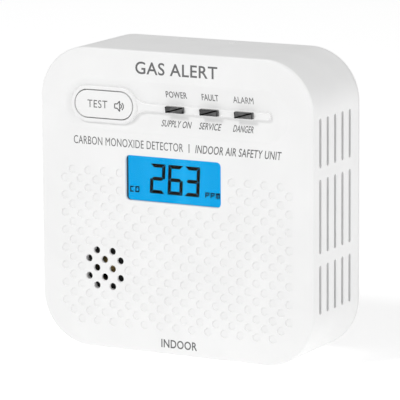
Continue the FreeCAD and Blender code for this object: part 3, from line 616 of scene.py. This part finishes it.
def ventCutters():
    mouth = ventSizes["mouthRound"]
    steps = [(0, lead)] + softMouth(mouth, 3) + [(0, wall + past)]
    rows = ((ventSizes["middleLength"], 0), (ventSizes["outerLength"], -ventSizes["outerOffset"]),
            (ventSizes["outerLength"], ventSizes["outerOffset"]))
    cutters = []
    for length, rise in rows:
        points = pillPoints(length + 2 * mouth, ventSizes["width"] + 2 * mouth, 0, 0, 6)
        slot = grown("ventCutter", [(z, x) for x, z in points], -frontY - lead, steps)
        z = middleZ - ventSizes["drop"] + rise
        for column in range(ventSizes["columns"]):
            depth = ventSizes["firstDepth"] + column * ventSizes["pitch"]
            for side in (1, -1):
                copy = duplicate(slot, (side * bodyWidth / 2, at(depth), z))
                copy.rotation_euler.z = side * math.pi / 2
                cutters.append(copy)
        bpy.data.objects.remove(slot)
    return cutters


def topMarkCutters():
    # a small open padlock, two arrows and a closed padlock, cut into the top near the wall side
    line = markSizes["line"]
    outlines = []
    outer, base, top = (markSizes[key] for key in ("shackle", "shackleBase", "shackleZ"))
    inner = outer - line
    for x, lift in markSizes["locks"]:
        lock = roundedPoints(markSizes["lockWidth"], markSizes["lockHeight"], markSizes["lockCorner"], x,
                             markSizes["lockZ"], 3)
        outlines.append(lock)
        shackle = [(x + outer, base + lift)] + arcPoints(x, top + lift, outer, 0, 180, 8)
        shackle += [(x - outer, base), (x - inner, base)]
        shackle += arcPoints(x, top + lift, inner, 180, 0, 8) + [(x + inner, base + lift)]
        outlines.append(tidied(shackle))
    head = markSizes["headHalf"]
    for tip, tail in markSizes["arrows"]:
        way = 1 if tail > tip else -1
        neck = tip + way * markSizes["headLength"]
        outlines.append([(tip, 0), (neck, head), (neck, line / 2), (tail, line / 2), (tail, -line / 2),
                         (neck, -line / 2), (neck, -head)])
    cutters = []
    for points in outlines:
        mark = slab("markCutter", points, -frontY - markSizes["above"], -frontY + markSizes["depth"])
        mark.rotation_euler.x = -math.pi / 2
        mark.location = (0, at(markSizes["fromFront"]), bodyHeight)
        cutters.append(mark)
    return cutters


def buildFrontShell():
    edge = shellSizes["edgeRound"]
    outer = roundedPoints(bodyWidth, bodyHeight, cornerRadius, 0, middleZ, 20)
    shell = slab("frontShell", outer, 0, skirtEnd)
    roundRim(shell, frontY, edge, 6)
    inner = roundedPoints(bodyWidth - 2 * wall, bodyHeight - 2 * wall, cornerRadius - wall, 0, middleZ, 20)
    boolean(shell, slab("hollow", inner, wall, skirtEnd + wellPast), "DIFFERENCE")
    margin = 2 * dishSizes["padMargin"]
    pad = pillPoints(dishSizes["length"] + margin, dishSizes["height"] + margin, 0, dishZ, 20)
    boolean(shell, slab("dishPad", pad, wall / 2, shellSizes["padBack"]), "UNION")
    for x, z in bossPlaces:
        boss = slab("boss", discPoints(shellSizes["bossRadius"], x, z), wall / 2, shellSizes["bossBack"])
        boolean(shell, boss, "UNION")
    for x, z in postPlaces:
        post = slab("post", discPoints(shellSizes["postRadius"], x, z), wall / 2, shellSizes["boardDepth"])
        boolean(shell, post, "UNION")
    boolean(shell, dishCutter(), "DIFFERENCE")
    return shell


def roundedTop(radius, steps=5):
    # (inset, deeper) pairs for the top edge of a raised pad that grows towards the front
    return [(inset, -deeper) for inset, deeper in softFloor(radius, steps)]


def raisedPad(name, points, root, top, edge):
    return grown(name, points, root, [(0, top + edge - root)] + roundedTop(edge))


def addRidgeAndCollar(shell):
    root = ridgeSizes["root"]
    ridge = raisedPad("ridge", ridgePoints(), root, ridgeSizes["sink"], ridgeSizes["barRound"])
    boolean(shell, ridge, "UNION")
    points = pillPoints(ridgeSizes["collarLength"], ridgeSizes["collarHeight"], buttonX, dishZ, 24)
    boolean(shell, raisedPad("collar", points, root, 0, ridgeSizes["collarRound"]), "UNION")


def cutOpenings(shell):
    through = shellSizes["padBack"] + wellPast
    gap, mouth = 2 * buttonSizes["gap"], buttonSizes["mouthRound"]
    points = pillPoints(buttonSizes["length"] + gap + 2 * mouth, buttonSizes["height"] + gap + 2 * mouth,
                        buttonX, dishZ, 24)
    steps = [(0, lead)] + softMouth(mouth, 4) + [(0, through - mouth)]
    boolean(shell, grown("buttonHole", points, -lead, steps), "DIFFERENCE")
    for name in pipeNames:
        x = centreOf(name).x
        gap = 2 * pipeSizes["gap"]
        points = roundedPoints(pipeSizes["width"] + gap, pipeSizes["height"] + gap, pipeSizes["corner"], x,
                               dishZ, 3)
        boolean(shell, slab("pipeHole", points, -wellPast, through), "DIFFERENCE")
    mouth = windowSizes["mouthRound"]
    points = roundedPoints(windowSizes["width"] + 2 * mouth, windowSizes["height"] + 2 * mouth,
                           windowSizes["radius"] + mouth, windowSizes["x"], windowZ, 10)
    steps = [(0, lead)] + softMouth(mouth, 4) + [(0, wall)]
    boolean(shell, grown("windowHole", points, -lead, steps), "DIFFERENCE")
    points = roundedPoints(windowSizes["pocketWidth"], windowSizes["pocketHeight"], windowSizes["radius"],
                           0, windowZ, 6)
    boolean(shell, slab("lensPocket", points, windowSizes["lensDepth"], wall + wellPast), "DIFFERENCE")
    frameSize = sizeOf("lcd_frame")
    room = 2 * windowSizes["frameGap"]
    points = roundedPoints(frameSize.x + room, frameSize.z + room, windowSizes["frameCorner"], 0, windowZ, 2)
    boolean(shell, slab("framePocket", points, wall, through), "DIFFERENCE")
    holes = [slab("hole", discPoints(shellSizes["screwHole"], x, z), shellSizes["screwTip"], skirtEnd)
             for x, z in bossPlaces]
    holes += [slab("hole", discPoints(shellSizes["postHole"], x, z), shellSizes["postTip"], skirtEnd)
              for x, z in postPlaces]
    boolean(shell, joinAll(holes, "screwHoles"), "DIFFERENCE")


frontShell = buildFrontShell()
print("stage: front shell body,", len(frontShell.data.polygons), "faces")
addRidgeAndCollar(frontShell)
cutOpenings(frontShell)
print("stage: front shell ridge, collar and openings,", len(frontShell.data.polygons), "faces")
boolean(frontShell, joinAll(ventCutters(), "ventCutters"), "DIFFERENCE")
boolean(frontShell, joinAll(topMarkCutters(), "markCutters"), "DIFFERENCE")
boolean(frontShell, joinAll(latticeCutters(), "latticeCutters"), "DIFFERENCE")
relief = discPoints(grilleSizes["relief"], grilleSizes["x"], grilleSizes["z"])
relief = slab("grilleRelief", relief, grilleSizes["skin"], wall + grilleSizes["reliefPast"])
boolean(frontShell, relief, "DIFFERENCE")
smooth(frontShell, 32)
finishPiece(frontShell, "housing", casingMaterial, ["front_cover"])
print("stage: front shell vents, grille and dimples,", len(frontShell.data.polygons), "faces")


# ---- test button

def buildButton():
    length, height = buttonSizes["length"], buttonSizes["height"]
    low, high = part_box("test_button")
    top = low.y - frontY
    flangeBack = shellSizes["padBack"] + buttonSizes["stemGap"] + buttonSizes["flange"]
    cap = raisedPad("testButton", pillPoints(length, height, buttonX, dishZ, 24), flangeBack, top,
                    buttonSizes["edgeRound"])
    margin = 2 * buttonSizes["flangeMargin"]
    flange = slab("buttonFlange", pillPoints(length + margin, height + margin, buttonX, dishZ, 24),
                  flangeBack - buttonSizes["flange"], flangeBack)
    boolean(cap, flange, "UNION")
    skin = buttonSizes["skin"]
    inner = slab("buttonHollow", pillPoints(length - 2 * skin, height - 2 * skin, buttonX, dishZ, 24),
                 skin, flangeBack + wellPast)
    boolean(cap, inner, "DIFFERENCE")
    stem = slab("buttonStem", discPoints(buttonSizes["stemRadius"], buttonX, dishZ), skin / 2,
                high.y - frontY)
    boolean(cap, stem, "UNION")
    smooth(cap, 40)
    finishPiece(cap, "button", buttonMaterial, ["test_button"])


buildButton()
print("stage: test button")


# ---- light pipes

pipeMaterial = smokedMaterial()


def buildPipe(node):
    low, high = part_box(node)
    x = (low.x + high.x) / 2
    points = roundedPoints(pipeSizes["width"], pipeSizes["height"], pipeSizes["corner"], x, dishZ, 3)
    pipe = raisedPad("smoked" + node.title().replace("_", ""), points, high.y - frontY, low.y - frontY,
                     pipeSizes["edgeRound"])
    margin = 2 * pipeSizes["flangeMargin"]
    points = roundedPoints(pipeSizes["width"] + margin, pipeSizes["height"] + margin,
                           pipeSizes["flangeCorner"], x, dishZ, 2)
    boolean(pipe, slab("pipeFlange", points, pipeSizes["flangeNear"], pipeSizes["flangeFar"]), "UNION")
    smooth(pipe, 12, False)
    finishPiece(pipe, "housing", pipeMaterial, [node])


for name in pipeNames:
    buildPipe(name)
print("stage: light pipes")


# ---- display

# the gasket ring is a real part, but its grey-brown colour is painted shade where it shows through the lens
# at the window's edge
gasketPaintedShadeMaterial = surface("foamGreyPaintedShade", gasketPaintedShadeLook)
nodes["display_lens"].data.materials.clear()
nodes["display_lens"].data.materials.append(clearMaterial("lensClear", (0.98, 0.99, 0.99), 0.0, 1.12))
nodes["lcd_polarizer"].data.materials.clear()
nodes["lcd_polarizer"].data.materials.append(litDisplayMaterial())

displaySizes = {"near": 1.96 * mm, "far": 2.02 * mm, "stroke": 1.2 * mm, "gap": 0.05 * mm, "lean": 0.045,
                "digitWidth": 5.5 * mm, "digitHeight": 9.85 * mm, "lowZ": 53.0 * mm,
                "digitLefts": (-10.37 * mm, -3.8 * mm, 2.4 * mm), "unitStroke": 0.42 * mm,
                "unitWidth": 1.5 * mm, "unitHeight": 2.0 * mm, "unitLowZ": 52.88 * mm,
                "unitLefts": (-17.7 * mm, -15.75 * mm, 10.05 * mm, 11.97 * mm, 13.9 * mm)}


def segmentOutlines(width, height, stroke, gap):
    # the bars of one character, each ending in a point or a mitre
    half, middle = stroke / 2, height / 2
    return {
        "a": [(gap, height), (width - gap, height), (width - stroke - gap, height - stroke),
              (stroke + gap, height - stroke)],
        "d": [(gap, 0), (stroke + gap, stroke), (width - stroke - gap, stroke), (width - gap, 0)],
        "b": [(width, height - gap), (width, middle + gap), (width - half, middle + gap),
              (width - stroke, middle + half + gap), (width - stroke, height - stroke - gap)],
        "c": [(width, gap), (width - stroke, stroke + gap), (width - stroke, middle - half - gap),
              (width - half, middle - gap), (width, middle - gap)],
        "e": [(0, gap), (0, middle - gap), (half, middle - gap), (stroke, middle - half - gap),
              (stroke, stroke + gap)],
        "f": [(0, height - gap), (stroke, height - stroke - gap), (stroke, middle + half + gap),
              (half, middle + gap), (0, middle + gap)],
        "g": [(half + gap, middle), (stroke + gap, middle + half), (width - stroke - gap, middle + half),
              (width - half - gap, middle), (width - stroke - gap, middle - half),
              (stroke + gap, middle - half)],
        "m": [(width / 2 - half, gap), (width / 2 + half, gap), (width / 2 + half, height - stroke - gap),
              (width / 2 - half, height - stroke - gap)],
    }


def character(letters, left, low, width, height, stroke, gap):
    bars = []
    shapes = segmentOutlines(width, height, stroke, gap)
    for letter in letters:
        points = [(left + x + displaySizes["lean"] * z, low + z) for x, z in shapes[letter]]
        bars.append(slab("bar", points, displaySizes["near"], displaySizes["far"]))
    return bars


def buildSegments():
    bars = []
    for letters, left in zip(("abged", "afgecd", "abgcd"), displaySizes["digitLefts"]):
        bars += character(letters, left, displaySizes["lowZ"], displaySizes["digitWidth"],
                          displaySizes["digitHeight"], displaySizes["stroke"], displaySizes["gap"])
    for letters, left in zip(("afed", "abcdef", "abgfe", "abgfe", "abcefm"), displaySizes["unitLefts"]):
        bars += character(letters, left, displaySizes["unitLowZ"], displaySizes["unitWidth"],
                          displaySizes["unitHeight"], displaySizes["unitStroke"], 0)
    segments = joinAll(bars, "displaySegments")
    finishPiece(segments, "housing", segmentMaterial)


def buildGasket():
    low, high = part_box("display_gasket")
    near, far = low.y - frontY, high.y - frontY
    gap = 2 * windowSizes["gasketGap"]
    outer = roundedPoints(high.x - low.x, high.z - low.z, windowSizes["radius"],
                          centreOf("display_gasket").x, windowZ, 6)
    ring = slab("foamGasket", outer, near, far)
    inner = roundedPoints(windowSizes["width"] + gap, windowSizes["height"] + gap, windowSizes["radius"],
                          windowSizes["x"], windowZ, 6)
    boolean(ring, slab("gasketHole", inner, near - wall, far + wall), "DIFFERENCE")
    finishPiece(ring, "housing", gasketPaintedShadeMaterial, ["display_gasket"])


buildSegments()
buildGasket()
print("stage: display")


# ---- printed words

inkSizes = {"proud": 0.02 * mm, "sunk": 0.03 * mm, "merge": 0.0005, "bends": 6}


def dishSurface(x, z):
    return dishDepthAt(abs(z - dishZ))


def printed(name, words, box, body="housing", depth=0.0, surfaceDepth=None, facing=-1, lean=0.0,
            weight=0.0, spacing=1.0):
    # words fitted to a box of (left, right, low, high) and laid on a flat or curved face
    left, right, low, high = (value * mm for value in box)
    clearSelection()
    bpy.ops.object.text_add()
    text = bpy.context.object
    text.data.body = words
    text.data.extrude = 0.1
    text.data.shear = lean
    text.data.offset = weight
    text.data.space_character = spacing
    text.data.resolution_u = 4
    bpy.ops.object.convert(target="MESH")
    word = bpy.context.object
    word.name = name
    bpy.ops.object.mode_set(mode="EDIT")
    bpy.ops.mesh.select_all(action="SELECT")
    bpy.ops.mesh.remove_doubles(threshold=inkSizes["merge"])
    corners = [vertex.co.copy() for vertex in word.data.vertices]
    minX, maxX = min(c.x for c in corners), max(c.x for c in corners)
    minY, maxY = min(c.y for c in corners), max(c.y for c in corners)
    if surfaceDepth:
        for cut in range(1, inkSizes["bends"]):
            bpy.ops.mesh.select_all(action="SELECT")
            height = minY + (maxY - minY) * cut / inkSizes["bends"]
            bpy.ops.mesh.bisect(plane_co=(0, height, 0), plane_no=(0, 1, 0))
    bpy.ops.object.mode_set(mode="OBJECT")
    for vertex in word.data.vertices:
        x = (vertex.co.x - minX) / (maxX - minX) * (right - left) + left
        z = (vertex.co.y - minY) / (maxY - minY) * (high - low) + low
        skin = surfaceDepth(x, z) if surfaceDepth else depth
        step = inkSizes["proud"] if vertex.co.z > 0 else -inkSizes["sunk"]
        vertex.co = (-facing * x, at(skin) + facing * step, z)
    finishPiece(word, body, inkMaterial)
    return word


# words laid out as (name, words, (left, right, low, high) in mm, lean, weight)
dishWords = (
    ("wordPower", "POWER", (-3.75, 3.95, 85.05, 87.2), 0.0, 0.01),
    ("wordFault", "FAULT", (9.35, 15.4, 85.0, 87.15), 0.0, 0.01),
    ("wordAlarm", "ALARM", (20.7, 28.0, 84.95, 87.1), 0.0, 0.0),
    ("wordSupply", "SUPPLY ON", (-5.4, 5.6, 75.5, 77.65), 0.22, 0.01),
    ("wordService", "SERVICE", (8.4, 16.4, 75.55, 77.7), 0.22, 0.01),
    ("wordDanger", "DANGER", (20.7, 28.0, 75.6, 77.75), 0.22, 0.01),
)
faceWords = (
    ("wordMark", "GAS ALERT", (-14.3, 15.7, 92.3, 96.4), 0.0, 0.01),
    ("wordTitle", "CARBON MONOXIDE DETECTOR", (-37.6, 3.1, 67.8, 70.5), 0.0, 0.0),
    ("wordSecond", "INDOOR AIR SAFETY UNIT", (7.5, 38.7, 67.8, 70.5), 0.2, 0.008),
    ("wordPlace", "INDOOR", (-5.5, 7.7, 2.3, 5.1), 0.0, 0.015),
)
for name, words, box, lean, weight in dishWords:
    printed(name, words, box, surfaceDepth=dishSurface, lean=lean, weight=weight, spacing=1.05)
for name, words, box, lean, weight in faceWords:
    printed(name, words, box, lean=lean, weight=weight, spacing=1.05)
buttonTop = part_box("test_button")[0].y - frontY
printed("wordTest", "TEST", (-32.2, -24.8, 80.15, 82.7), body="button", depth=buttonTop, spacing=1.1)

speakerSizes = {"left": -22.05 * mm, "z": 81.2 * mm, "line": 0.36 * mm, "box": 0.95 * mm,
                "cone": 1.85 * mm, "high": 1.7 * mm, "throat": 0.75, "waveShift": 0.1 * mm,
                "waves": ((0.8 * mm, 60), (1.5 * mm, 50))}


def strokeOutline(path, width):
    # both sides of an open line, as one closed outline
    left, right = [], []
    for index, (x, z) in enumerate(path):
        before = path[max(index - 1, 0)]
        after = path[min(index + 1, len(path) - 1)]
        dx, dz = after[0] - before[0], after[1] - before[1]
        size = math.hypot(dx, dz)
        left.append((x - dz / size * width / 2, z + dx / size * width / 2))
        right.append((x + dz / size * width / 2, z - dx / size * width / 2))
    return left + right[::-1]


def buildSpeaker():
    x, z = speakerSizes["left"], speakerSizes["z"]
    line, box, cone, high = (speakerSizes[key] for key in ("line", "box", "cone", "high"))
    half = box * speakerSizes["throat"]
    near, far = buttonTop - inkSizes["proud"], buttonTop + inkSizes["sunk"]
    corners = [(x, z - half), (x + box, z - half), (x + cone, z - high), (x + cone, z + high),
               (x + box, z + half), (x, z + half)]
    lines = []
    for start, end in zip(corners, corners[1:] + corners[:1]):
        lines.append(strokeOutline([start, end], line))
    for radius, spread in speakerSizes["waves"]:
        wave = arcPoints(x + cone - speakerSizes["waveShift"], z, radius, -spread, spread, 8)
        lines.append(strokeOutline(wave, line))
    strokes = [slab("speakerLine", points, near, far) for points in lines]
    finishPiece(joinAll(strokes, "speakerIcon"), "button", inkMaterial)


buildSpeaker()
dividerSizes = {"width": 0.3 * mm, "height": 2.9 * mm, "corner": 0.1 * mm, "x": 5.25 * mm, "z": 69.15 * mm}
dividerPoints = roundedPoints(*dividerSizes.values(), 2)
divider = slab("titleDivider", dividerPoints, -inkSizes["proud"], inkSizes["sunk"])
finishPiece(divider, "housing", inkMaterial)
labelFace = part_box("rating_label")[1].y - frontY
printed("wordRating", "3 V DC     2 x AA     INDOOR USE", (-16.0, 16.0, 69.75, 71.45), depth=labelFace,
        facing=1, weight=0.008)
print("stage: printed words")


# ---- battery springs

springSizes = {"wire": 0.35 * mm, "turns": 4, "tipScale": 0.63, "baseRadius": 4.25 * mm,
               "length": 4.0 * mm, "rise": 7.75 * mm, "stepsPerTurn": 28}


def buildSpring(side):
    low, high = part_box("battery_springs")
    reach = max(high.x, -low.x)
    length = springSizes["length"]
    z = middleZ - side * springSizes["rise"]
    y = (low.y + high.y) / 2
    wire = springSizes["wire"]
    pitch = (length - 2 * wire) / springSizes["turns"]
    bpy.ops.mesh.primitive_circle_add(vertices=8, radius=wire, fill_type="NGON")
    spring = bpy.context.object
    for vertex in spring.data.vertices:
        vertex.co = (vertex.co.x, springSizes["baseRadius"] + vertex.co.y, 0)
    modifier = spring.modifiers.new("coil", "SCREW")
    modifier.axis = "X"
    modifier.screw_offset = pitch
    modifier.iterations = springSizes["turns"]
    modifier.steps = springSizes["stepsPerTurn"]
    modifier.render_steps = springSizes["stepsPerTurn"]
    makeActive(spring)
    bpy.ops.object.modifier_apply(modifier=modifier.name)
    for vertex in spring.data.vertices:
        taper = 1 - (1 - springSizes["tipScale"]) * vertex.co.x / length
        along = reach - wire - vertex.co.x
        vertex.co = (side * along, y + vertex.co.y * taper, z + vertex.co.z * taper)
    bpy.ops.object.mode_set(mode="EDIT")
    bpy.ops.mesh.select_all(action="SELECT")
    bpy.ops.mesh.remove_doubles(threshold=10 * sameSpot)
    bpy.ops.mesh.normals_make_consistent(inside=False)
    bpy.ops.object.mode_set(mode="OBJECT")
    return spring


springs = joinAll([buildSpring(1), buildSpring(-1)], "coilSprings")
smooth(springs, 60, False)
finishPiece(springs, "housing", steelMaterial, ["battery_springs"])
print("stage: battery springs")


# ---- stage, light and camera

stageSizes = {"floor": 6.0, "floorShade": 0.72, "floorRoughness": 0.9, "floorGlow": 0.50,
              "worldStrength": 0.50}
keySizes = {"place": (-0.8, -1.2, 1.6), "size": 0.5, "power": 15.4}
sideSizes = {"place": (1.9, -0.35, 0.75), "size": 1.2, "power": 8.8}
cameraSizes = {"place": Vector((524.65, -990.9, 258.75)) * mm, "target": Vector((9.15, -17.125, 52.56)) * mm,
               "lens": 312.1, "sensor": 36, "roll": -0.353}

bpy.ops.mesh.primitive_plane_add(size=stageSizes["floor"], location=(0, 0, 0))
floor = bpy.context.object
floor.name = "studioFloor"
floorMaterial, _, floorShader = newMaterial("paleFloor")
floorShader.inputs["Base Color"].default_value = (*[stageSizes["floorShade"]] * 3, 1)
floorShader.inputs["Roughness"].default_value = stageSizes["floorRoughness"]
floorShader.inputs["Emission Color"].default_value = (1, 1, 1, 1)
floorShader.inputs["Emission Strength"].default_value = stageSizes["floorGlow"]
floor.data.materials.append(floorMaterial)

world = bpy.data.worlds.new("studio")
world.use_nodes = True
bpy.context.scene.world = world
background = world.node_tree.nodes["Background"]
background.inputs["Color"].default_value = (1, 1, 1, 1)
background.inputs["Strength"].default_value = stageSizes["worldStrength"]


def softLight(name, sizes):
    bpy.ops.object.light_add(type="AREA", location=sizes["place"])
    light = bpy.context.object
    light.name = name
    light.data.shape = "DISK"
    light.data.size = sizes["size"]
    light.data.energy = sizes["power"]
    aim = Vector((0, 0, middleZ)) - Vector(sizes["place"])
    light.rotation_euler = aim.to_track_quat("-Z", "Y").to_euler()


softLight("keyLight", keySizes)
softLight("sideLight", sideSizes)

bpy.ops.object.camera_add(location=cameraSizes["place"])
camera = bpy.context.object
camera.data.lens = cameraSizes["lens"]
camera.data.sensor_width = cameraSizes["sensor"]
aimTurn = (cameraSizes["target"] - cameraSizes["place"]).to_track_quat("-Z", "Y").to_matrix()
rollTurn = Matrix.Rotation(math.radians(cameraSizes["roll"]), 3, "Z")
camera.rotation_euler = (aimTurn @ rollTurn).to_euler()
bpy.context.scene.camera = camera
bpy.context.scene.view_settings.view_transform = "Standard"
print("stage: floor, light and camera")
